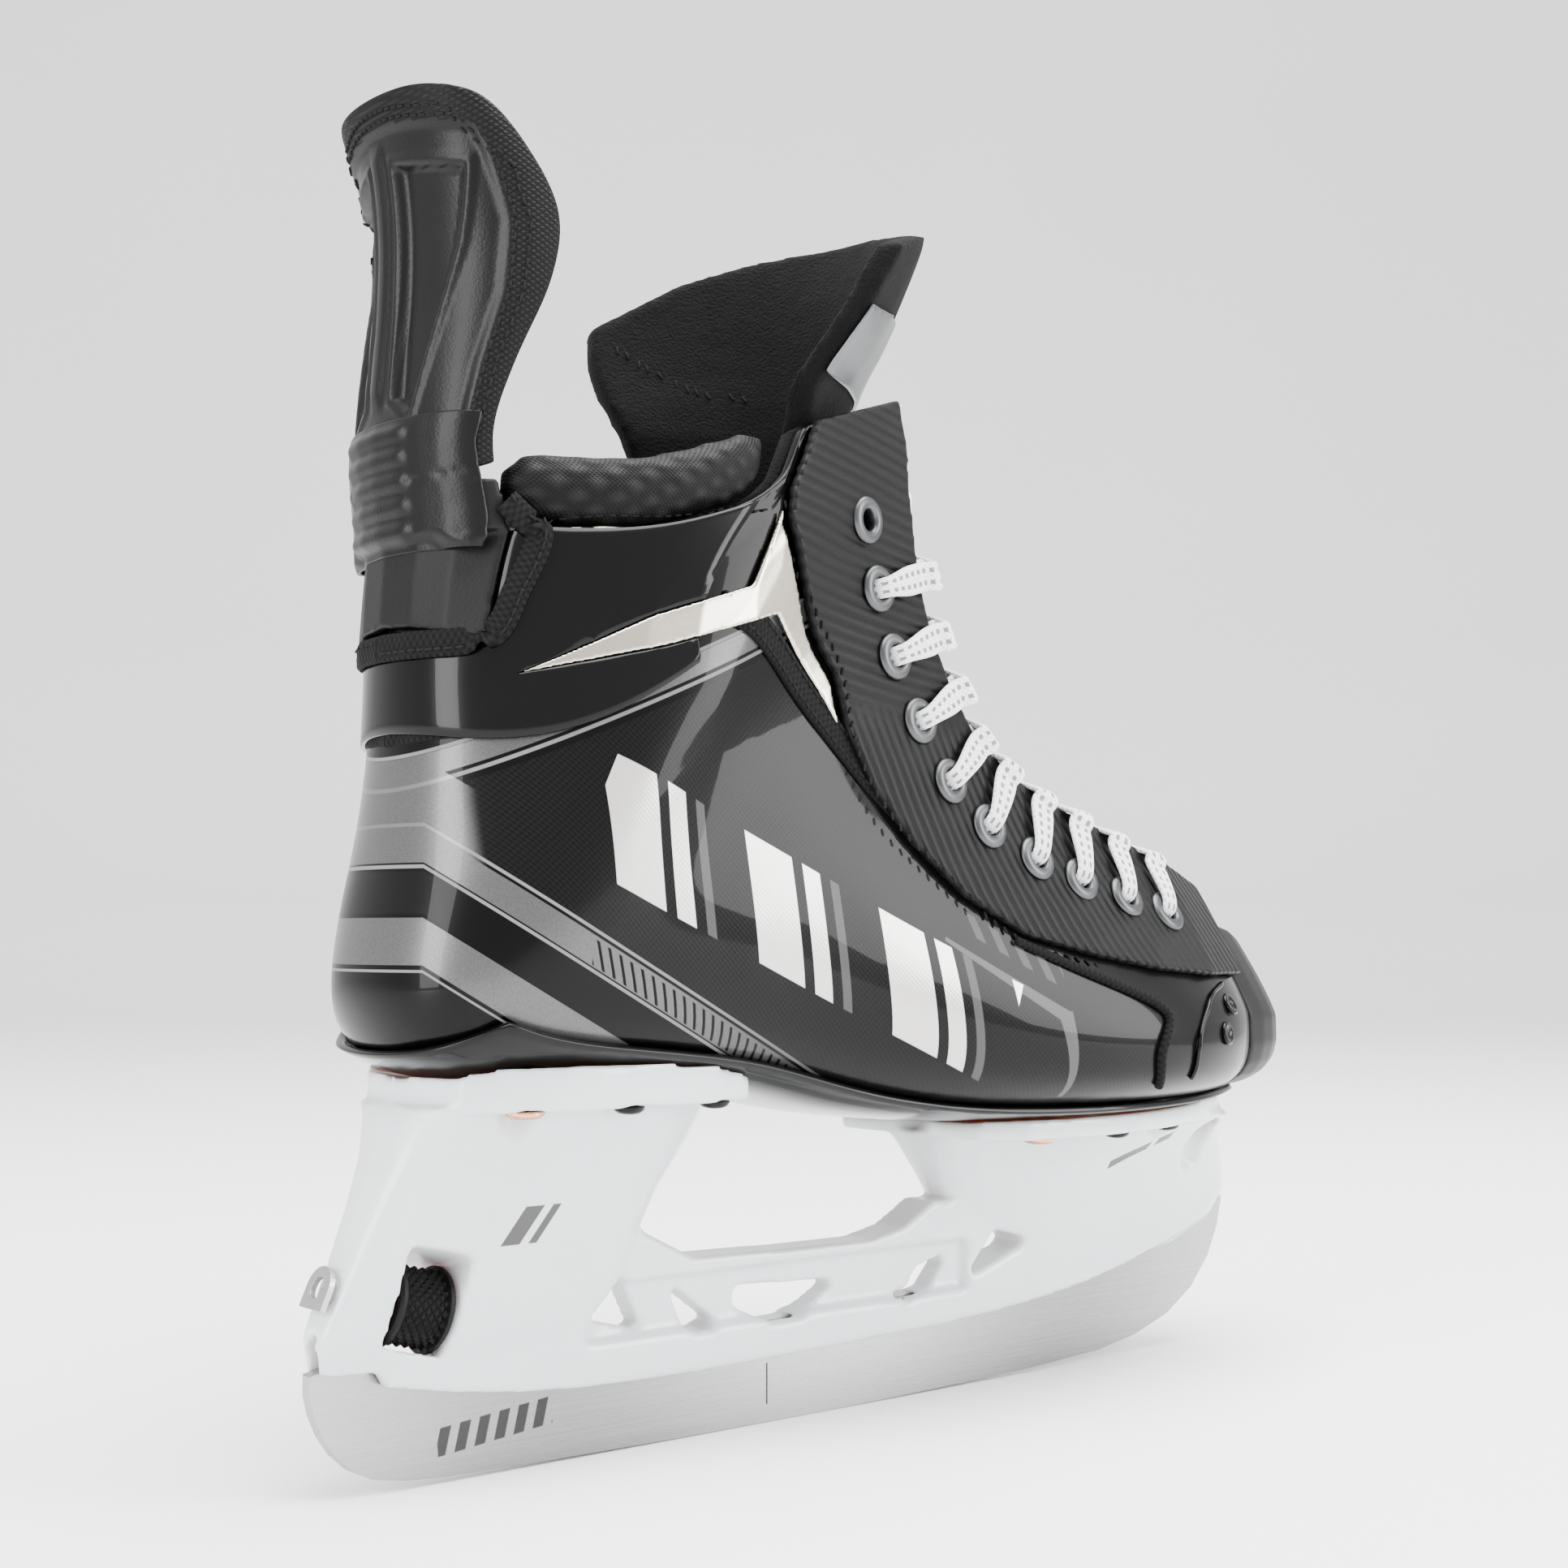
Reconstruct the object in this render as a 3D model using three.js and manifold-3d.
// Ice hockey skate: a moulded boot on a blade holder with a quick-release steel runner.
// Millimetres, +X to the toe, +Y to the left side, +Z up. The origin is the point where the
// middle of the runner's rocker touches the ice.
import * as THREE from "three";
import { mergeGeometries, mergeVertices } from "three/addons/utils/BufferGeometryUtils.js";
import { ParametricGeometry } from "three/addons/geometries/ParametricGeometry.js";
import Module from "manifold-3d";

const wasm = await Module();
wasm.setup();

// ---------- driving dimensions ----------

const GAP = 0.3; // clearance between pieces that touch
const RUNNER_THICKNESS = 3;
const RUNNER_SHOW = 14.6; // height of bare steel under the holder
const ROCKER_RADIUS = 2900;
const RUNNER_SEAT = 7; // depth that the steel sits inside the holder

const HEEL_SOLE_Z = 79; // underside of the boot at the heel
const BALL_SOLE_Z = 66; // underside of the boot at the ball of the foot
const FLANGE_THICKNESS = 3.6;
const HEEL_FLANGE_X = [-96, -25];
const TOE_FLANGE_X = [40, 149];
const RAIL_WIDTH = 11;
const BRIDGE_TOP_Z = 37.8; // top of the truss between the two towers

const SHELL_WALL = 2.2;
const LINER_WALL = 3.5;
const FACING_WALL = 2.2;
const TRIM_WALL = 1.2;
const SHELL_UNDER_FACING = 0.13; // share of the facing's width that the shell reaches under it
const OUTSOLE_WALL = 1.6;
const EYELET_COUNT = 10;
const EYELET_INSET = [17, 21]; // eyelet centre from the facing's front edge, at the toe and top
const EYELET_HOLE = 2.3;
const EYELET_BARREL = 3.0;
const EYELET_FLANGE = 5.2;
const EYELET_BACK = 4.2; // radius of the rim that is rolled over inside the boot
const LACE_RADIUS = 1.4;
const GUARD_WALL = 6.5;
const TONGUE_WALL = 6;

const COLOURS = {
  shell: [0x1c1d20, 0.35, 0.0],
  white: [0xeef2f4, 0.25, 0.0],
  steel: [0xb9bbbd, 0.25, 1.0],
  black: [0x141416, 0.5, 0.0],
  satin: [0x303136, 0.45, 0.0],
  felt: [0x17171a, 0.95, 0.0],
  trim: [0xb8b2a8, 0.25, 0.9],
  copper: [0xb87452, 0.3, 1.0],
  grey: [0x6f7073, 0.4, 0.6],
  lace: [0xf2f2f0, 0.9, 0.0],
};

// ---------- helpers for closed solids ----------

const skate = new THREE.Group();

function merged(geometry) {
  const bare = geometry.clone();
  bare.deleteAttribute("normal");
  bare.deleteAttribute("uv");
  const welded = mergeVertices(bare, 1e-4);
  const kept = [];
  for (let i = 0; i < welded.index.count; i += 3) {
    const [a, b, c] = [0, 1, 2].map((k) => welded.index.getX(i + k));
    if (a !== b && b !== c && c !== a) kept.push(a, b, c);
  }
  welded.setIndex(kept);
  return welded;
}

function toSolid(geometry) {
  const welded = merged(geometry);
  const solid = new wasm.Manifold(
    new wasm.Mesh({
      numProp: 3,
      vertProperties: welded.attributes.position.array,
      triVerts: new Uint32Array(welded.index.array),
    }),
  );
  return solid.volume() < 0 ? toSolid(flipped(geometry)) : solid;
}

function flipped(geometry) {
  const turned = geometry.index ? geometry.toNonIndexed() : geometry.clone();
  const p = turned.attributes.position;
  const [a, b] = [new THREE.Vector3(), new THREE.Vector3()];
  for (let i = 0; i < p.count; i += 3) {
    a.fromBufferAttribute(p, i + 1);
    b.fromBufferAttribute(p, i + 2);
    p.setXYZ(i + 1, b.x, b.y, b.z);
    p.setXYZ(i + 2, a.x, a.y, a.z);
  }
  return turned;
}

function toGeometry(solid) {
  const mesh = solid.getMesh();
  const geometry = new THREE.BufferGeometry();
  geometry.setAttribute("position", new THREE.BufferAttribute(mesh.vertProperties, 3));
  geometry.setIndex(new THREE.BufferAttribute(mesh.triVerts, 1));
  return geometry;
}

function add(name, solid, finish) {
  const [color, roughness, metalness] = COLOURS[finish];
  const material = new THREE.MeshStandardMaterial({ color, roughness, metalness });
  const mesh = new THREE.Mesh(toGeometry(solid), material);
  mesh.name = name;
  skate.add(mesh);
  return solid;
}

function box(x, y, z) {
  const geometry = new THREE.BoxGeometry(x[1] - x[0], y[1] - y[0], z[1] - z[0]);
  return toSolid(geometry.translate((x[0] + x[1]) / 2, (y[0] + y[1]) / 2, (z[0] + z[1]) / 2));
}

function cylinder(radius, length, sides = 16) {
  return toSolid(new THREE.CylinderGeometry(radius, radius, length, sides));
}

// A plate whose outline lies in the XZ plane, centred on Y = 0.
function platesXZ(points, width, holes = [], curveSegments = 8) {
  const shape = points instanceof THREE.Shape ? points : new THREE.Shape(points);
  shape.holes.push(...holes);
  const geometry = new THREE.ExtrudeGeometry(shape, { depth: width, bevelEnabled: false, curveSegments });
  return toSolid(geometry.rotateX(Math.PI / 2).translate(0, width / 2, 0));
}

// A closed slab: map(s, t, offset) gives a point, with s and t from 0 to 1.
function slab(map, low, high, slices, stacks) {
  const face = (func, a, b) => new ParametricGeometry(func, a, b);
  const top = face((s, t, p) => p.copy(map(s, t, high)), slices, stacks);
  const bottom = flipped(face((s, t, p) => p.copy(map(s, t, low)), slices, stacks));
  const at = (k) => low + (high - low) * k;
  const walls = [
    face((s, k, p) => p.copy(map(s, 0, at(k))), slices, 1),
    face((s, k, p) => p.copy(map(1 - s, 1, at(k))), slices, 1),
    face((k, t, p) => p.copy(map(0, t, at(k))), 1, stacks),
    face((k, t, p) => p.copy(map(1, t, at(1 - k))), 1, stacks),
  ];
  const sides = [top, ...walls].map((geometry) => geometry.toNonIndexed());
  [bottom, ...sides].forEach((geometry) => ["normal", "uv"].forEach((key) => geometry.deleteAttribute(key)));
  return toSolid(mergeGeometries([bottom, ...sides]));
}

// A closed loft through rings; ring(k, angle) gives a point, with k from 0 to 1.
function loft(ring, centre, sides, steps) {
  const rows = steps + 2;
  const geometry = new ParametricGeometry(
    (a, row, p) => {
      const index = Math.round(row * rows);
      const k = Math.min(Math.max(index - 1, 0), steps) / steps;
      if (index === 0 || index === rows) p.copy(centre(k));
      else p.copy(ring(k, (a === 1 ? 0 : a) * 2 * Math.PI));
    },
    sides,
    rows,
  );
  return toSolid(geometry);
}

function union(solids) {
  return solids.reduce((all, one) => all.add(one));
}

const lerp = THREE.MathUtils.lerp;

// ---------- the boot's outer surface ----------

// Each station is a section plane, from the sole or the back of the heel (outer, as x and z) to
// the lacing edge (inner). half: greatest half width on the left and right. widest: where that
// is, as a share of the way in. edge: half gap between the facings. square: how boxy the outer
// corner is. lean: how the wall curls in to the facing. facing: share where the facing starts.
const STATIONS = [
  { outer: [131, 67.2], inner: [131, 110], half: [38, 32], widest: 0.44, edge: 17, square: 3.4, lean: 1.2, facing: 0.685 },
  { outer: [112, 66.4], inner: [114, 120.5], half: [44.5, 44.5], widest: 0.38, edge: 24, square: 3.6, lean: 1.15, facing: 0.565 },
  { outer: [86, 66], inner: [92, 127], half: [48.5, 51], widest: 0.34, edge: 27, square: 3.6, lean: 1.1, facing: 0.517 },
  { outer: [58, 65.8], inner: [70, 133.5], half: [47, 50], widest: 0.33, edge: 28, square: 3.5, lean: 1.1, facing: 0.52 },
  { outer: [28, 66.6], inner: [49, 142], half: [42, 45.5], widest: 0.34, edge: 28, square: 3.2, lean: 1.1, facing: 0.53 },
  { outer: [0, 70], inner: [33, 153.5], half: [38, 41], widest: 0.36, edge: 28, square: 3, lean: 1.1, facing: 0.575 },
  { outer: [-28, 76.8], inner: [24, 170], half: [36, 38], widest: 0.4, edge: 27.5, square: 3.4, lean: 1.1, facing: 0.6 },
  { outer: [-58, 79], inner: [19.3, 183], half: [36, 37], widest: 0.45, edge: 27, square: 3.7, lean: 1.1, facing: 0.66 },
  { outer: [-84, 79.6], inner: [17.2, 193.5], half: [36, 36], widest: 0.5, edge: 27, square: 3.6, lean: 1.15, facing: 0.725 },
  { outer: [-100, 84], inner: [16.6, 200], half: [37, 36.5], widest: 0.5, edge: 27, square: 3.1, lean: 1.15, facing: 0.725 },
  { outer: [-104.6, 95], inner: [15.6, 205], half: [38, 37.5], widest: 0.5, edge: 27, square: 2.5, lean: 1.15, facing: 0.715 },
  { outer: [-103.5, 109], inner: [15.2, 208.5], half: [38.5, 38], widest: 0.52, edge: 27, square: 2.3, lean: 1.15, facing: 0.7 },
  { outer: [-100.5, 125], inner: [15, 211], half: [39, 38], widest: 0.55, edge: 27, square: 2.2, lean: 1.15, facing: 0.675 },
  { outer: [-98.2, 144], inner: [15, 213.2], half: [39, 38], widest: 0.57, edge: 27, square: 2.2, lean: 1.15, facing: 0.65 },
  { outer: [-98, 162], inner: [14.8, 215.8], half: [38, 37.5], widest: 0.58, edge: 27, square: 2.2, lean: 1.15, facing: 0.63 },
  { outer: [-97.3, 178], inner: [14.2, 219.5], half: [37, 37], widest: 0.6, edge: 26.8, square: 2.2, lean: 1.15, facing: 0.675 },
  { outer: [-96.5, 188], inner: [13, 226], half: [36.5, 36.5], widest: 0.6, edge: 26.5, square: 2.2, lean: 1.15, facing: 0.726 },
];
const LAST = STATIONS.length - 1;

// Catmull-Rom value of a column at u, from 0 at the toe to 1 at the collar.
function column(read, u) {
  const at = THREE.MathUtils.clamp(u, 0, 1) * LAST;
  const k = Math.min(Math.floor(at), LAST - 1);
  const f = at - k;
  const value = (i) => read(STATIONS[THREE.MathUtils.clamp(i, 0, LAST)]);
  const [a, b, c, d] = [value(k - 1), value(k), value(k + 1), value(k + 2)];
  const first = k === 0 ? 2 * b - c : a;
  const last = k === LAST - 1 ? 2 * c - b : d;
  const slopeB = (c - first) / 2;
  const slopeC = (last - b) / 2;
  const f2 = f * f;
  const f3 = f2 * f;
  return (2 * f3 - 3 * f2 + 1) * b + (f3 - 2 * f2 + f) * slopeB + (3 * f2 - 2 * f3) * c + (f3 - f2) * slopeC;
}

// A point on the outer surface: v is 0 at the sole line, 1 at the widest place and 2 at the
// lacing edge, positive on the left side.
function skin(u, v) {
  const side = v < 0 ? 1 : 0;
  const w = Math.abs(v);
  const widest = column((s) => s.widest, u);
  const half = column((s) => s.half[side], u);
  const edge = column((s) => s.edge, u);
  let y, f;
  if (w <= 1) {
    const power = 2 / column((s) => s.square, u);
    y = half * Math.sin((w * Math.PI) / 2) ** power;
    f = widest * (1 - Math.cos((w * Math.PI) / 2) ** power);
  } else {
    y = half - (half - edge) * (w - 1) ** column((s) => s.lean, u);
    f = lerp(widest, 1, w - 1);
  }
  const x = lerp(column((s) => s.outer[0], u), column((s) => s.inner[0], u), f);
  const z = lerp(column((s) => s.outer[1], u), column((s) => s.inner[1], u), f);
  return new THREE.Vector3(x, side ? -y : y, z);
}

function skinNormal(u, v) {
  const du = 0.004;
  const dv = 0.03;
  const [u0, u1] = [Math.max(u - du, 0), Math.min(u + du, 1)];
  const [v0, v1] = [Math.max(v - dv, -2), Math.min(v + dv, 2)];
  const alongU = skin(u1, v).sub(skin(u0, v));
  const alongV = skin(u, v1).sub(skin(u, v0));
  return alongU.cross(alongV).normalize();
}

// A point at a height above the outer surface, measured along its normal.
function over(u, v, height) {
  return skin(u, v).addScaledVector(skinNormal(u, v), height);
}

// v at a share of the way from the sole line to the lacing edge.
function vAtShare(u, share) {
  const widest = column((s) => s.widest, u);
  return 1 + (share - widest) / (1 - widest);
}

const facingV = (u) => vAtShare(u, column((s) => s.facing, u));
const shellEdgeV = (u) => lerp(facingV(u), 2, SHELL_UNDER_FACING);

// ---------- shell, liner, outsole, toe cap ----------

// The collar dips on each side between the tendon guard and the facings.
function topU(v) {
  const w = Math.abs(v);
  const dip = THREE.MathUtils.smoothstep(w, 0, 0.95) * (1 - THREE.MathUtils.smoothstep(w, 1.05, 1.3));
  return 1 - 0.1 * dip;
}

// Shell pieces share one grid of lines, so that they lie on each other without cutting in.
const GRID = [28, 20];

function shellPatch(rows, columns, low, high, step = 1, ease = 0) {
  const [r0, r1] = [(rows[0] + ease) / GRID[0], (rows[1] - ease) / GRID[0]];
  const [c0, c1] = [(columns[0] + ease) / GRID[1], (columns[1] - ease) / GRID[1]];
  return slab(
    (s, t, h) => {
      const flat = lerp(r0, r1, s);
      const v = (2 * lerp(c0, c1, t) - 1) * shellEdgeV(flat);
      return over(flat * topU(v), v, h);
    },
    low,
    high,
    (rows[1] - rows[0]) / step,
    (columns[1] - columns[0]) / step,
  );
}

const wholeShell = (low, high, step) => shellPatch([0, GRID[0]], [0, GRID[1]], low, high, step);
const linerOut = -SHELL_WALL - 2 * GAP;
const linerIn = linerOut - LINER_WALL;
const footbedOut = linerIn - 2 * GAP;
add("quarter_shell", wholeShell(-SHELL_WALL, 0), "shell");
add("liner", wholeShell(linerIn, linerOut), "felt");
add("footbed", shellPatch([2, 16], [8, 12], footbedOut - 3, footbedOut), "felt");
add("outsole", shellPatch([0, 16], [7, 13], GAP, GAP + OUTSOLE_WALL), "shell");
const shellSkin = wholeShell(-1, GAP / 2);

// The toe cap continues the shell's front section and closes over the toes.
const TOE_LENGTH = 31;
const TOE_TIP = [9, 84]; // y and z of the tip
const TOE_ROUND = 2.5;

function toeRing(share, inset, length) {
  return (k, angle) => {
    const t = angle / (2 * Math.PI);
    const arch = 0.84;
    const point = t < arch ? skin(0, lerp(-2, 2, t / arch)) : skin(0, 2);
    if (t >= arch) {
      const edge = point.y;
      point.y = lerp(edge, -edge, (t - arch) / (1 - arch));
      point.z += 2 * (1 - (point.y / edge) ** 2);
    }
    const bend = (k * Math.PI) / 2;
    const scale = share * Math.cos(Math.min(bend, Math.PI / 2)) ** (2 / TOE_ROUND);
    return new THREE.Vector3(
      point.x + GAP + inset + length * Math.sin(bend),
      lerp(TOE_TIP[0] * Math.sin(bend), point.y, scale),
      lerp(TOE_TIP[1], point.z, scale),
    );
  };
}

function toeSolid(share, inset, length, sides, steps) {
  const ring = toeRing(share, inset, length);
  const centre = (k) => new THREE.Vector3(ring(k, 0).x, k * TOE_TIP[0], TOE_TIP[1]);
  return loft(ring, centre, sides, steps);
}

const toeCap = toeSolid(1, 0, TOE_LENGTH, 30, 8).subtract(toeSolid(0.93, -1, TOE_LENGTH - 2, 20, 5));
add("toe_cap", toeCap, "satin");

// ---------- facings and eyelets ----------

const eyeletV = (u) => {
  const width = skin(u, facingV(u)).distanceTo(skin(u, 2));
  return lerp(2, facingV(u), lerp(...EYELET_INSET, u / EYELET_U[1]) / width);
};

// u values of the eyelets, evenly spaced along their own line.
const EYELET_U = [0.125, 0.715];

function eyeletPlaces() {
  const samples = 240;
  const places = [];
  let length = 0;
  let last = null;
  for (let i = 0; i <= samples; i++) {
    const u = lerp(EYELET_U[1], EYELET_U[0], i / samples);
    const point = skin(u, eyeletV(u));
    length += last ? point.distanceTo(last) : 0;
    places.push([length, u]);
    last = point;
  }
  return Array.from({ length: EYELET_COUNT }, (_, k) => {
    const goal = (length * k) / (EYELET_COUNT - 1);
    return places.find(([run]) => run >= goal - 1e-6)[1];
  });
}

const eyeletUs = eyeletPlaces();
const EYELET_HIGH = GAP + FACING_WALL + 1; // underside of an eyelet's flange
const SIDES = { right: -1, left: 1 };

function placed(solid, point, direction) {
  const turn = new THREE.Quaternion().setFromUnitVectors(new THREE.Vector3(0, 1, 0), direction);
  const matrix = new THREE.Matrix4().compose(point, turn, new THREE.Vector3(1, 1, 1));
  return solid.transform(matrix.elements);
}

function eyeletSolid() {
  const profile = [
    [EYELET_HOLE, -0.8],
    [EYELET_BACK, -0.8],
    [EYELET_BACK, -0.1],
    [EYELET_BARREL, -0.1],
    [EYELET_BARREL, EYELET_HIGH],
    [EYELET_FLANGE, EYELET_HIGH],
    [EYELET_FLANGE - 0.6, EYELET_HIGH + 0.7],
    [EYELET_HOLE, EYELET_HIGH + 0.7],
    [EYELET_HOLE, -0.8],
  ];
  return toSolid(new THREE.LatheGeometry(profile.map((p) => new THREE.Vector2(...p)), 9));
}

const eyelet = eyeletSolid();
for (const [side, sign] of Object.entries(SIDES)) {
  const facingMap = (s, t, h) => over(s, sign * lerp(facingV(s), 2, t), h);
  let facing = slab(facingMap, GAP, GAP + FACING_WALL, 20, 4).subtract(shellSkin);
  eyeletUs.forEach((u, k) => {
    const v = sign * eyeletV(u);
    const [point, normal] = [skin(u, v), skinNormal(u, v)];
    facing = facing.subtract(placed(cylinder(EYELET_BARREL + GAP, 12, 10), point, normal));
    const seat = placed(cylinder(EYELET_FLANGE + GAP, 4, 10), over(u, v, EYELET_HIGH - GAP + 2), normal);
    const backSeat = placed(cylinder(EYELET_BACK + GAP, 4, 10), over(u, v, GAP / 2 - 2), normal);
    facing = facing.subtract(seat).subtract(backSeat);
    add(`eyelet_${side}_${k + 1}`, placed(eyelet, point, normal), "grey");
  });
  add(`facing_${side}`, facing, "satin");
}

// ---------- ankle wrap, collar and tendon guard ----------

// Rows of the shell's grid: the wrap's lower edge, the guard panel's lower edge, the collar.
const WRAP_ROWS = [23, 25, GRID[0]];
const WRAP_COLUMNS = [3, 7, 13, 17];

const wrapBand = (low, high) =>
  union([
    shellPatch([WRAP_ROWS[0], WRAP_ROWS[1]], [WRAP_COLUMNS[0], WRAP_COLUMNS[3]], low, high),
    shellPatch([WRAP_ROWS[0], WRAP_ROWS[2]], [WRAP_COLUMNS[0], WRAP_COLUMNS[1]], low, high),
    shellPatch([WRAP_ROWS[0], WRAP_ROWS[2]], [WRAP_COLUMNS[2], WRAP_COLUMNS[3]], low, high),
  ]);

// A Y-shaped ornament between the wrap and the facing, as an outline of x and z.
const TRIM_OUTLINE = [
  [-85, 157.5],
  [-60, 170],
  [-37, 178],
  [-27, 197],
  [-20, 195],
  [-11, 168],
  [-6, 146],
  [-15, 158],
  [-29, 173],
  [-58, 164],
];
function trimPrism(grow) {
  const shape = new THREE.Shape(TRIM_OUTLINE.map((p) => new THREE.Vector2(...p)));
  const bevel = { bevelEnabled: grow > 0, bevelSize: grow, bevelThickness: grow, bevelSegments: 1 };
  return toSolid(new THREE.ExtrudeGeometry(shape, { depth: 120, ...bevel }).rotateX(Math.PI / 2).translate(0, 60, 0));
}
const facingRoom = union(
  Object.values(SIDES).map((sign) =>
    slab((s, t, h) => over(s, sign * lerp(facingV(s), 2, t * 1.1 - 0.05), h), 0, GAP + FACING_WALL + GAP, 20, 3),
  ),
);
const trimLayer = shellPatch([11, GRID[0]], [0, GRID[1]], GAP, GAP + TRIM_WALL)
  .intersect(trimPrism(0))
  .subtract(facingRoom);
for (const [side, sign] of Object.entries(SIDES)) {
  const half = box([-120, 20], sign > 0 ? [0, 60] : [-60, 0], [120, 220]);
  add(`trim_${side}`, trimLayer.intersect(half), "trim");
}
add("ankle_wrap", wrapBand(GAP, GAP + TRIM_WALL).subtract(trimPrism(GAP)), "shell");

// Collar pads: a padded roll along the dipped collar on each side.
const PAD_RADII = [5.2, 8]; // across the collar, and up
const PAD_V = [0.36, 1.04];
const PAD_LIFT = 5.5;

function padSolid(sign) {
  const centreAt = (v) => {
    const u = topU(v);
    const rise = skin(1, v).sub(skin(0.9, v)).normalize();
    return over(u, v, -PAD_RADII[0] + 1.2).addScaledVector(rise, PAD_LIFT + PAD_RADII[1] - 5);
  };
  const ring = (k, angle) => {
    const v = sign * lerp(PAD_V[0], PAD_V[1], k);
    const fat = Math.min(1, 0.55 + 6 * Math.min(k, 1 - k));
    const outward = skinNormal(0.9, v).multiplyScalar(PAD_RADII[0] * fat * Math.cos(angle));
    const rise = skin(1, v).sub(skin(0.9, v)).normalize();
    return centreAt(v).add(outward).addScaledVector(rise, PAD_RADII[1] * fat * Math.sin(angle));
  };
  return loft(ring, (k) => centreAt(sign * lerp(PAD_V[0], PAD_V[1], k)), 10, 8);
}

const wallRoom = wholeShell(linerIn - GAP / 2, GAP / 2);
const collarCutter = union([wallRoom, wallRoom.translate(0, 0, GAP), wallRoom.translate(GAP, 0, 0)]);
for (const [side, sign] of Object.entries(SIDES)) {
  add(`collar_pad_${side}`, padSolid(sign).subtract(collarCutter), "black");
}

// Tendon guard: a C-shaped wall behind the ankle. Rows give its height, the x of its back,
// half width and depth from front to back.
const GUARD_ROWS = [
  { z: 188, back: -99.8, half: 25, deep: 13 },
  { z: 202, back: -101.2, half: 24, deep: 11.5 },
  { z: 218, back: -100.4, half: 26.5, deep: 15 },
  { z: 232, back: -99.4, half: 29.5, deep: 19.5 },
  { z: 246, back: -99.2, half: 30, deep: 21 },
  { z: 260, back: -100.6, half: 27.5, deep: 15.5 },
  { z: 268, back: -102.6, half: 25, deep: 11.5 },
  { z: 273, back: -105, half: 21, deep: 8 },
];
const GUARD_FLEX_Z = 194; // the flex line, where the guard hinges
const GUARD_TILT = 0.12; // the flex line rises to the front
const GUARD_FORWARD = THREE.MathUtils.degToRad(8);
const GUARD_TOP_Z = GUARD_ROWS.at(-1).z;

function guardRow(read, z) {
  const curve = new THREE.CatmullRomCurve3(
    GUARD_ROWS.map((row) => new THREE.Vector3(row.z, read(row), 0)),
  );
  let [low, high] = [0, 1];
  for (let i = 0; i < 30; i++) {
    const middle = (low + high) / 2;
    if (curve.getPoint(middle).x < z) low = middle;
    else high = middle;
  }
  return curve.getPoint(low).y;
}

function guardPoint(z, t, inward) {
  const a = (t * Math.PI) / 2;
  const half = guardRow((row) => row.half, z);
  const deep = guardRow((row) => row.deep, z);
  const back = guardRow((row) => row.back, z);
  const lift = deep * (1 - Math.cos(a));
  const out = new THREE.Vector3(-Math.cos(a) / deep, Math.sin(a) / half, 0).normalize();
  const point = new THREE.Vector3(back + lift, half * Math.sin(a), z + GUARD_TILT * lift);
  return point.addScaledVector(out, -inward);
}

const guardFoot = (t) => {
  const lift = guardRow((row) => row.deep, GUARD_FLEX_Z) * (1 - Math.cos((t * Math.PI) / 2));
  return GUARD_FLEX_Z + GAP + (lift + GUARD_WALL) * Math.tan(GUARD_FORWARD);
};
const guardBand = (lowZ, highZ, low, high, slices, stacks) =>
  slab((s, t, h) => guardPoint(lerp(lowZ(2 * t - 1), highZ(2 * t - 1), s), 2 * t - 1, h), low, high, slices, stacks);
const guardHead = (t) => GUARD_TOP_Z - 4 * Math.abs(t) ** 3;
const tendonGuard = guardBand(guardFoot, guardHead, 0, GUARD_WALL, 13, 12);
add("tendon_guard", tendonGuard, "satin");

// Its base: a panel on the back of the shell, and a lip that carries the guard.
const shellTopZ = column((s) => s.outer[1], 1);
const basePanel = shellPatch([WRAP_ROWS[1], WRAP_ROWS[2]], [WRAP_COLUMNS[1], WRAP_COLUMNS[2]], GAP, GAP + 2, 1, 0.06);
const baseLip = guardBand(
  () => shellTopZ - 4,
  () => GUARD_FLEX_Z,
  0,
  GUARD_WALL,
  2,
  12,
);
const padRoom = union(Object.values(SIDES).map((sign) => padSolid(sign)));
const baseRoom = union([wrapBand(0, GAP + TRIM_WALL + GAP), padRoom, shellSkin]);
const tendonBase = basePanel.add(baseLip.subtract(collarCutter)).subtract(baseRoom);
add("tendon_base", tendonBase, "satin");

// ---------- tongue ----------

// Rows from the toe to the top: x and z of the middle, half width, and how far the edges fall
// back from the middle.
const TONGUE_ROWS = [
  [124, 104.5, 14, 2],
  [113, 114.5, 20, 4],
  [91, 121, 25, 8],
  [69, 127.5, 26, 9],
  [49, 136, 26, 10],
  [33, 148, 26, 13],
  [22, 164, 25.5, 17],
  [15, 182, 25.5, 22],
  [12, 200, 26, 26],
  [14, 222, 32, 34],
  [19, 240, 44, 38],
  [24, 256, 49, 38],
  [31, 271, 47, 36],
];
const TONGUE_JOIN = 9 / 12; // share of the rows where the top folds
const TONGUE_LOPSIDED = 0.08; // how much wider the top is on the right
const TONGUE_TWIST = THREE.MathUtils.degToRad(8);

const tonguePath = new THREE.CatmullRomCurve3(TONGUE_ROWS.map(([x, z]) => new THREE.Vector3(x, 0, z)));
const tongueSpread = new THREE.CatmullRomCurve3(
  TONGUE_ROWS.map(([, , half, drop], k) => new THREE.Vector3(k * 10, half, drop)),
);

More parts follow.
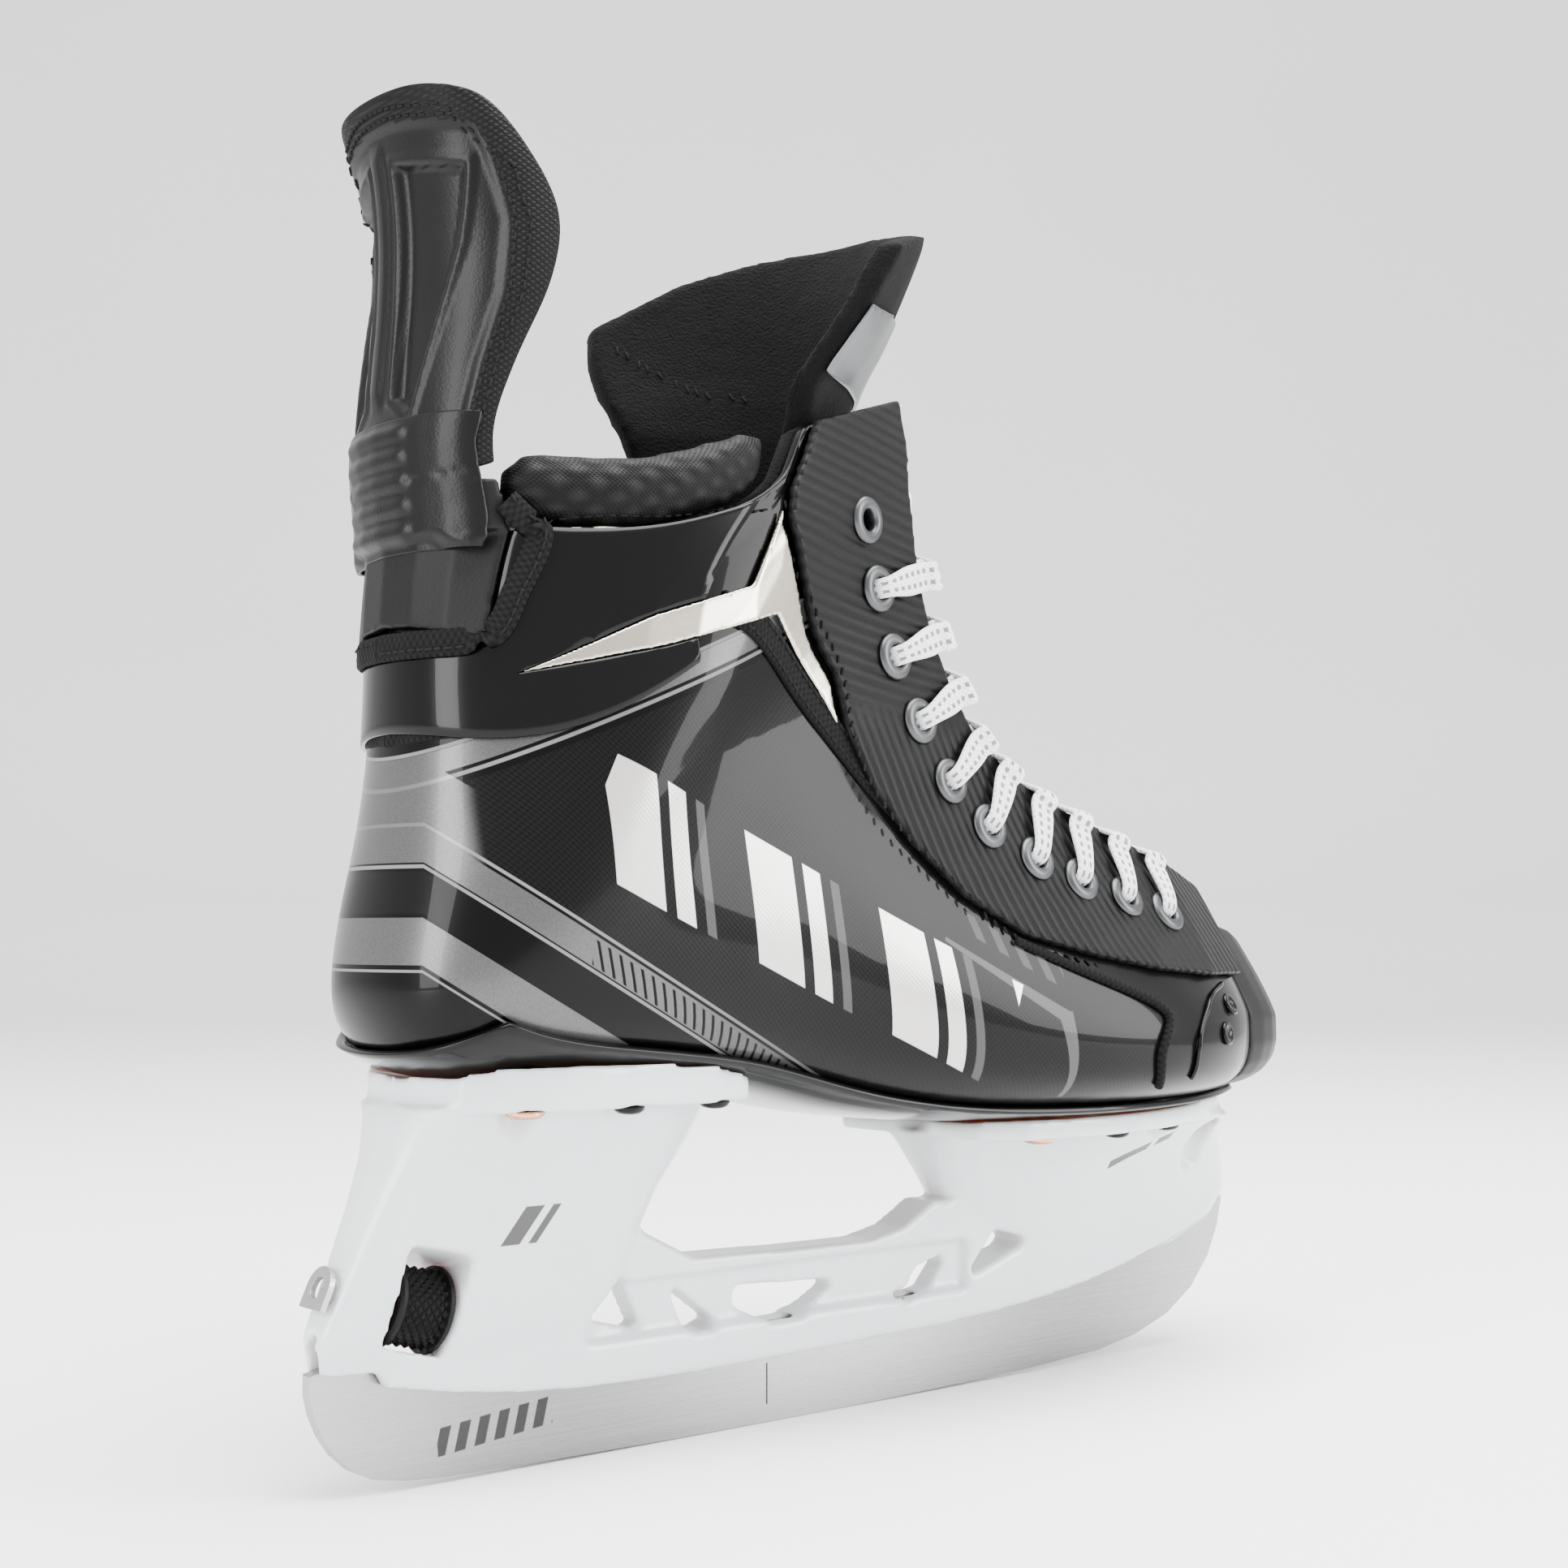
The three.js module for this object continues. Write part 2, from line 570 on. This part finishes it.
function tonguePoint(s, t, inward) {
  const middle = tonguePath.getPoint(s);
  const along = tonguePath.getTangent(s);
  const level = THREE.MathUtils.smoothstep(s, 0.6, 0.8);
  const out = new THREE.Vector3(along.z, 0, -along.x).lerp(new THREE.Vector3(1, 0, 0), level).normalize();
  const spread = tongueSpread.getPoint(s);
  const half = spread.y;
  const drop = spread.z;
  const bow = 2.2;
  const point = middle.clone().addScaledVector(out, -drop * Math.abs(t) ** bow);
  point.y = half * t * (1 - Math.sign(t) * TONGUE_LOPSIDED * THREE.MathUtils.smoothstep(s, 0.75, 1));
  const slope = (drop * bow * Math.abs(t) ** (bow - 1) * Math.sign(t)) / half;
  const normal = out.clone().add(new THREE.Vector3(0, slope, 0)).normalize();
  point.addScaledVector(normal, -inward);
  const twist = TONGUE_TWIST * THREE.MathUtils.smoothstep(s, 0.6, 0.85);
  const [x, y] = [point.x - TONGUE_ROWS[9][0], point.y];
  point.x = TONGUE_ROWS[9][0] + x * Math.cos(twist) - y * Math.sin(twist);
  point.y = x * Math.sin(twist) + y * Math.cos(twist);
  return point;
}

const tongueSlab = (from, to, slices, stacks) =>
  slab(
    (s, t, h) => {
      const w = 2 * t - 1;
      const high = to === 1 ? 1 - (w < 0 ? 0.11 * w ** 2 : 0.12 * w ** 4) : to;
      return tonguePoint(lerp(from, high, s), w, h);
    },
    0,
    TONGUE_WALL,
    slices,
    stacks,
  );
const shellAndPads = collarCutter.add(padRoom);
add("tongue_base", tongueSlab(0, TONGUE_JOIN - 0.004, 16, 10).subtract(shellAndPads), "felt");
add("tongue_top", tongueSlab(TONGUE_JOIN, 1, 6, 10).subtract(shellAndPads), "felt");


// ---------- lace ----------

// One lace, threaded from the inside out through every eyelet but the top pair. It crosses the
// tongue between each pair, lies as a bar inside the lowest pair, and its ends are tucked in.
const LACE_OVER = EYELET_HIGH + 2.5; // lace centre above the boot's surface, outside an eyelet
const LACE_UNDER = -3.4;
const LACE_PASS = 1.8; // half the height between two strands where they cross

// A curve whose even steps fall on its own points.
class LaceRoute extends THREE.CatmullRomCurve3 {
  getPointAt(t, target) {
    return this.getPoint(t, target);
  }
  getTangentAt(t, target) {
    return this.getTangent(t, target);
  }
}

const betweenU = (k, share) => lerp(eyeletUs[k], eyeletUs[k - 1], share);
const atEyelet = (sign, k, height) => over(eyeletUs[k], sign * eyeletV(eyeletUs[k]), height);

// A place beside the facing's front edge: height is from the boot's surface, forward is past
// the edge.
function atEdge(sign, u, height, forward) {
  const ahead = skin(u, sign * 2).sub(skin(u, sign * 1.9)).normalize();
  return over(u, sign * 2, height).addScaledVector(ahead, forward);
}

const middleOf = (u, forward) => atEdge(1, u, 0, forward).add(atEdge(-1, u, 0, forward)).multiplyScalar(0.5);
const FACING_TOP = GAP + FACING_WALL;

// From one eyelet round the facing's edge and across to the inside of the other facing.
function strand(sign, k) {
  const high = (k % 2 === 1) === sign < 0;
  return [
    atEyelet(sign, k, LACE_UNDER),
    atEyelet(sign, k, -0.8),
    atEyelet(sign, k, EYELET_HIGH),
    atEyelet(sign, k, LACE_OVER),
    atEdge(sign, betweenU(k, 0.2), FACING_TOP + 2, 0.2),
    atEdge(sign, betweenU(k, 0.28), FACING_TOP, 2.6),
    middleOf(betweenU(k, 0.5), 2.4 + (high ? LACE_PASS : -LACE_PASS)),
    atEdge(-sign, betweenU(k, 0.8), -2.4, -0.8),
  ];
}

// Every strand on one chain, from the lowest eyelet up to the tucked end.
function chain(sign) {
  const points = [];
  for (let k = EYELET_COUNT - 1; k >= 1; k--) {
    const side = (EYELET_COUNT - 1 - k) % 2 === 0 ? sign : -sign;
    points.push(...strand(side, k));
  }
  return points;
}

function laceSolid() {
  const lowest = eyeletUs[EYELET_COUNT - 1];
  const bar = [atEdge(-1, lowest, -1.9, 0.5), middleOf(lowest, 1), atEdge(1, lowest, -1.9, 0.5)];
  const route = new LaceRoute([...chain(SIDES.right).reverse(), ...bar, ...chain(SIDES.left)], false, "centripetal");
  const section = new THREE.Shape();
  section.absarc(0, 0, LACE_RADIUS, 0, 2 * Math.PI);
  const steps = route.points.length - 1;
  const options = { steps, curveSegments: 4, extrudePath: route, bevelEnabled: false };
  return toSolid(new THREE.ExtrudeGeometry(section, options));
}
add("lace", laceSolid(), "lace");

// ---------- blade holder ----------

const rocker = (x) => (x * x) / (2 * ROCKER_RADIUS);
// The line where the steel leaves the holder, as x and z.
const RAIL_LINE = new THREE.CatmullRomCurve3(
  [
    [-114, 25],
    [-95, 20],
    [-68, 15.9],
    [-35, 14.3],
    [10, RUNNER_SHOW + 0.3],
    [60, 16.5],
    [95, 20],
    [120, 25.3],
    [145, 33],
    [157, 37.5],
  ].map(([x, z]) => new THREE.Vector3(x, 0, z)),
);
const railPoints = RAIL_LINE.getSpacedPoints(18).map((p) => new THREE.Vector2(p.x, p.z));
const raised = (points, up) => points.map((p) => new THREE.Vector2(p.x, p.y + up));

// The sole's height under a place on the boot.
function soleZ(x, y) {
  const pointAt = (u) => {
    const half = column((s) => s.half[y < 0 ? 1 : 0], u);
    const w = (Math.asin((Math.abs(y) / half) ** (column((s) => s.square, u) / 2)) * 2) / Math.PI;
    return skin(u, Math.sign(y) * w);
  };
  let [front, rear] = [0, 0.56];
  for (let i = 0; i < 30; i++) {
    const middle = (front + rear) / 2;
    if (pointAt(middle).x > x) front = middle;
    else rear = middle;
  }
  return pointAt(front).z;
}

const SOLE_GAP = GAP + OUTSOLE_WALL + GAP; // from the shell to the top of the flanges
const soleLayer = (low, high) => shellPatch([0, 17], [5, 15], low, high);

// Towers: rows give z, the rear and front x, and half the width.
function tower(rows, sides, round) {
  const rowAt = (k) => rows[Math.round(k * (rows.length - 1))];
  const power = (value) => Math.sign(value) * Math.abs(value) ** (2 / round);
  const ring = (k, angle) => {
    const [z, rear, front, half] = rowAt(k);
    const x = lerp(rear, front, 0.5 + 0.5 * power(Math.cos(angle)));
    return new THREE.Vector3(x, half * power(Math.sin(angle)), z);
  };
  const centre = (k) => {
    const [z, rear, front] = rowAt(k);
    return new THREE.Vector3((rear + front) / 2, 0, z);
  };
  return loft(ring, centre, sides, rows.length - 1);
}

const heelFlangeLow = HEEL_SOLE_Z - SOLE_GAP - FLANGE_THICKNESS;
const heelTower = tower(
  [
    [24, -113, -50, 5.5],
    [31, -113.6, -46, 8],
    [38, -110.5, -42, 9.5],
    [46, -107.2, -39, 10.5],
    [55, -103.6, -34.5, 12],
    [64, -100.2, -28.5, 15],
    [heelFlangeLow - 2, -98.4, -25.5, 19],
    [heelFlangeLow + 1, -97.4, -24, 23],
  ],
  26,
  3.4,
);
const toeFlangeLow = BALL_SOLE_Z - SOLE_GAP - FLANGE_THICKNESS;
const toeTower = tower(
  [
    [26, 60, 136, 4],
    [33, 57, 152, 6],
    [40, 53, 157, 8],
    [46, 50, 155.5, 10],
    [52, 46.5, 152.6, 12.5],
    [57, 44, 151, 17],
    [toeFlangeLow + 1, 43, 149.5, 23],
  ],
  26,
  2.8,
);

// The truss rail between the towers, from rear to front along its top.
const railShape = new THREE.Shape([
  ...railPoints.slice(1, -1),
  new THREE.Vector2(152, 40),
  new THREE.Vector2(60, 44),
  new THREE.Vector2(46, 45),
  new THREE.Vector2(36, 39.6),
  new THREE.Vector2(26, BRIDGE_TOP_Z - 0.2),
  new THREE.Vector2(4, BRIDGE_TOP_Z),
  new THREE.Vector2(-25, BRIDGE_TOP_Z + 0.8),
  new THREE.Vector2(-39, 45.5),
  new THREE.Vector2(-60, 46),
  new THREE.Vector2(-105, 33),
]);
const TRUSS_WIDTH = 6;
const trussPockets = Object.values(SIDES).map((sign) =>
  box([-54, 57], [TRUSS_WIDTH / 2, RAIL_WIDTH].map((y) => sign * y).sort((a, b) => a - b), [23.6, BRIDGE_TOP_Z - 2.6]),
);
const rail = platesXZ(railShape, RAIL_WIDTH).subtract(union(trussPockets));
const TRUSS_WINDOWS = [
  [[-44, 37], [-53, 28.5], [-37.5, 24.5]],
  [[-31, 34], [-18, 24.5], [-19, 22.6], [-26, 22.8]],
  [[-12.5, 31], [18, 29.5], [5, 22.4], [-3, 22.2], [-12.5, 26.5]],
  [[29, 24], [39, 25], [42, 29.5], [53, 32.5], [46.5, 24.6], [38, 22.6]],
  [[66, 36.5], [76, 34], [77, 32.3], [56, 25.4]],
];
const windowPlugs = TRUSS_WINDOWS.map((points) => platesXZ(points.map((p) => new THREE.Vector2(...p)), 60));

// Flanges that screw to the sole, flat below, as outlines of x and half width.
function flange(low, outline) {
  const half = new THREE.SplineCurve(outline.map((p) => new THREE.Vector2(...p))).getSpacedPoints(12);
  const other = half.slice(1, -1).reverse();
  const shape = new THREE.Shape([...half, ...other.map((p) => new THREE.Vector2(p.x, -p.y))]);
  const prism = new THREE.ExtrudeGeometry(shape, { depth: SOLE_GAP + FLANGE_THICKNESS + 3, bevelEnabled: false });
  return toSolid(prism.translate(0, 0, low));
}
const heelFlange = flange(heelFlangeLow, [
  [HEEL_FLANGE_X[0], 0],
  [-94, 13],
  [-86, 24],
  [-70, 28],
  [-45, 28.5],
  [-30, 28],
  [HEEL_FLANGE_X[1], 22],
  [HEEL_FLANGE_X[1] - 2, 0],
]);
const toeFlange = flange(toeFlangeLow, [
  [TOE_FLANGE_X[0] + 6, 0],
  [TOE_FLANGE_X[0] + 1, 17],
  [TOE_FLANGE_X[0] + 6, 28],
  [60, 32],
  [86, 32.5],
  [112, 26.5],
  [136, 17],
  [146, 9],
  [TOE_FLANGE_X[1], 0],
]);

// ---------- runner lock ----------

// A knurled wheel on a screw draws the claw off the runner's rear post.
const LOCK = { x: -92.5, z: 35, radius: 8.6, width: 12.5, tilt: THREE.MathUtils.degToRad(14) };
const LOCK_SCREW_RADIUS = 2.1;
const LOCK_TRAVEL = 4;
const CLAW = { from: 13, to: 25.9, high: 7, wide: 7 };
const lockAxis = new THREE.Vector3(Math.cos(LOCK.tilt), 0, -Math.sin(LOCK.tilt));
const lockAt = (along) => new THREE.Vector3(LOCK.x, 0, LOCK.z).addScaledVector(lockAxis, along);
const lockRod = (radius, from, to, sides = 12) =>
  placed(cylinder(radius, to - from, sides), lockAt((from + to) / 2), lockAxis);
const lockBlock = (wide, high, from, to) =>
  placed(toSolid(new THREE.BoxGeometry(wide, to - from, high)), lockAt((from + to) / 2), lockAxis);

const windowHalf = LOCK.width / 2 + 0.8;
const lockWindow = (grow) => lockBlock(40, 2 * (LOCK.radius + 0.6 + grow), -windowHalf - grow, windowHalf + grow);
const lockBore = lockRod(LOCK_SCREW_RADIUS + GAP, -30, CLAW.from);
const clawRoom = lockBlock(CLAW.wide + 2 * GAP, CLAW.high + 2 * GAP, CLAW.from - LOCK_TRAVEL - GAP, CLAW.to + GAP);

function lockWheel() {
  const ridges = 22;
  const shape = new THREE.Shape(
    Array.from({ length: 2 * ridges }, (_, k) => {
      const angle = (k * Math.PI) / ridges;
      const radius = LOCK.radius - (k % 2) * 0.7;
      return new THREE.Vector2(radius * Math.cos(angle), radius * Math.sin(angle));
    }),
  );
  const barrel = new THREE.ExtrudeGeometry(shape, { depth: LOCK.width, bevelEnabled: false });
  const turned = toSolid(barrel.translate(0, 0, -LOCK.width / 2).rotateX(Math.PI / 2));
  return placed(turned, lockAt(0), lockAxis).subtract(lockRod(LOCK_SCREW_RADIUS + GAP, -10, 10));
}
const claw = lockBlock(CLAW.wide, CLAW.high, CLAW.from, CLAW.to);
const SCREW_ENDS = [-16.5, CLAW.to - 4];
add("lock_wheel", lockWheel(), "black");
add("lock_screw", lockRod(LOCK_SCREW_RADIUS, ...SCREW_ENDS), "steel");
add("lock_claw", claw.subtract(lockRod(LOCK_SCREW_RADIUS + GAP, CLAW.from - 2, CLAW.to + 2)), "steel");

// The plate round the screw's bore on the back of the heel tower.
const PLATE = { x: -110.6, z: 40.2, half: 4.2, wall: 1.2, hole: 2.2, lean: 0.4 };
function lockPlate(wall, grow = 0) {
  const shape = new THREE.Shape();
  const half = PLATE.half + grow;
  shape.moveTo(-half, -half);
  shape.lineTo(half, -half);
  shape.lineTo(half, 0);
  shape.absarc(0, 0, half, 0, Math.PI);
  if (grow === 0) shape.holes.push(new THREE.Path().absarc(0, 0, PLATE.hole, 0, 2 * Math.PI, true));
  const plate = new THREE.ExtrudeGeometry(shape, { depth: wall, bevelEnabled: false, curveSegments: 8 });
  plate.rotateX(Math.PI / 2).rotateZ(-Math.PI / 2).rotateY(PLATE.lean);
  return toSolid(plate.translate(PLATE.x, 0, PLATE.z));
}
add("lock_plate", lockPlate(PLATE.wall), "steel");

// ---------- runner ----------

// Rocker below, seat above, and two posts that stand in the towers.
const heelArc = [
  [-113.8, 24.5],
  [-113.8, 20.6],
  [-112.8, 16.6],
  [-111, 12.6],
  [-108.2, 8.6],
  [-104.6, 5.4],
  [-100, 3.2],
  [-93, 1.9],
  [-84, rocker(-84)],
];
const toeArc = [
  [108, 2.6],
  [121, 4.7],
  [133.5, 8.6],
  [143.5, 14.4],
  [150.6, 22],
  [154.6, 29.5],
  [156.6, 36.8],
];
const ROCKER_ENDS = [-62, 84];
const bottomArc = Array.from({ length: 9 }, (_, k) => {
  const x = lerp(...ROCKER_ENDS, k / 8);
  return [x, rocker(x)];
});
const lowerPoints = [...heelArc, ...bottomArc, ...toeArc].map((p) => new THREE.Vector2(...p));
const seatPoints = raised(railPoints, RUNNER_SEAT).slice(1, -1).reverse();
const POSTS = [
  { x: [-66, -58], z: [20, 36] },
  { x: [112, 120], z: [28, 45] },
];
const postSolid = (post, grow, drop) =>
  box(
    [post.x[0] - grow, post.x[1] + grow],
    [-RUNNER_THICKNESS / 2 - grow, RUNNER_THICKNESS / 2 + grow],
    [post.z[0] - drop, post.z[1] + grow],
  );
const ROCKER_FLAT = 6; // half length of the ground facet at the middle of the rocker
const runnerPlate = platesXZ([...lowerPoints, new THREE.Vector2(155, 39), ...seatPoints], RUNNER_THICKNESS)
  .subtract(lockWindow(GAP))
  .subtract(box([-ROCKER_FLAT, ROCKER_FLAT], [-5, 5], [-5, rocker(ROCKER_FLAT) / 2]));
add("runner", union([runnerPlate, ...POSTS.map((post) => postSolid(post, 0, 0))]), "steel");

// The room that the runner needs as it drops straight out of the holder.
const steelRoom = RUNNER_THICKNESS + 2 * GAP;
const slotTop = raised(railPoints, RUNNER_SEAT + GAP);
const slotShape = new THREE.Shape([...raised(railPoints, -8), ...slotTop.slice().reverse()]);
const slotEnds = [
  box([-120, -111.5], [-steelRoom / 2, steelRoom / 2], [0, slotTop[1].y + GAP]),
  box([150, 162], [-steelRoom / 2, steelRoom / 2], [0, 39 + GAP]),
];
const dropRoom = union([
  platesXZ(slotShape, steelRoom),
  ...slotEnds,
  ...POSTS.map((post) => postSolid(post, GAP, post.z[0])),
]);

// ---------- fasteners and the finished holder ----------

const FASTENERS = [
  { name: "heel_t_nut", x: -79, y: 21, copper: true },
  { name: "heel_rivet_1", x: -56, y: 23.5 },
  { name: "heel_rivet_2", x: -34, y: 23 },
  { name: "toe_t_nut", x: 60, y: 25.5, copper: true },
  { name: "toe_rivet_1", x: 86, y: 26.5 },
  { name: "toe_rivet_2", x: 111, y: 21 },
  { name: "toe_rivet_3", x: 134, y: 12.5 },
];
const SHANK = 2;
const SHANK_SHORT = 1.2; // from the top of the flange down to the shank's end
const SPOT_FACE = 0.8; // depth of the flat that a fastener's head sits on
const SPOT_RADIUS = 5;

function fastenerSolid(low, high, copper) {
  const head = copper ? 4.2 : 3.4;
  const profile = [
    [0, low - GAP - 2],
    [head * 0.6, low - GAP - 1.9],
    [head, low - GAP - 0.9],
    [head, low - GAP],
    [SHANK, low - GAP],
    [SHANK, high],
    [0, high],
  ];
  const geometry = new THREE.LatheGeometry(profile.map((p) => new THREE.Vector2(...p)), 10);
  return toSolid(geometry.rotateX(Math.PI / 2));
}

const boltHole = toSolid(new THREE.CylinderGeometry(SHANK + GAP, SHANK + GAP, 20, 10).rotateX(Math.PI / 2));
const spotFace = toSolid(new THREE.CylinderGeometry(SPOT_RADIUS, SPOT_RADIUS, 14, 12).rotateX(Math.PI / 2));
const fastenerCuts = [];
for (const [side, sign] of Object.entries(SIDES)) {
  for (const part of FASTENERS) {
    const y = sign * part.y;
    const top = soleZ(part.x, y) - SOLE_GAP;
    const low = (part.x < 0 ? heelFlangeLow : toeFlangeLow) + SPOT_FACE;
    fastenerCuts.push(boltHole.translate(part.x, y, top), spotFace.translate(part.x, y, low - 7));
    const solid = fastenerSolid(low, top - SHANK_SHORT, part.copper).translate(part.x, y, 0);
    add(`${part.name}_${side}`, solid, part.copper ? "copper" : "black");
  }
}

const plateRoom = lockPlate(20, GAP).translate(-20 + PLATE.wall + GAP, 0, 0);
const toeRoom = toeSolid(1.16, -6, TOE_LENGTH + 2, 20, 5);
const holder = union([heelTower, toeTower, rail, heelFlange, toeFlange])
  .subtract(soleLayer(-8, SOLE_GAP))
  .subtract(toeRoom)
  .subtract(union([dropRoom, lockWindow(0), lockBore, clawRoom, ...windowPlugs, ...fastenerCuts]))
  .subtract(plateRoom);
add("holder", holder, "white");

export default skate;
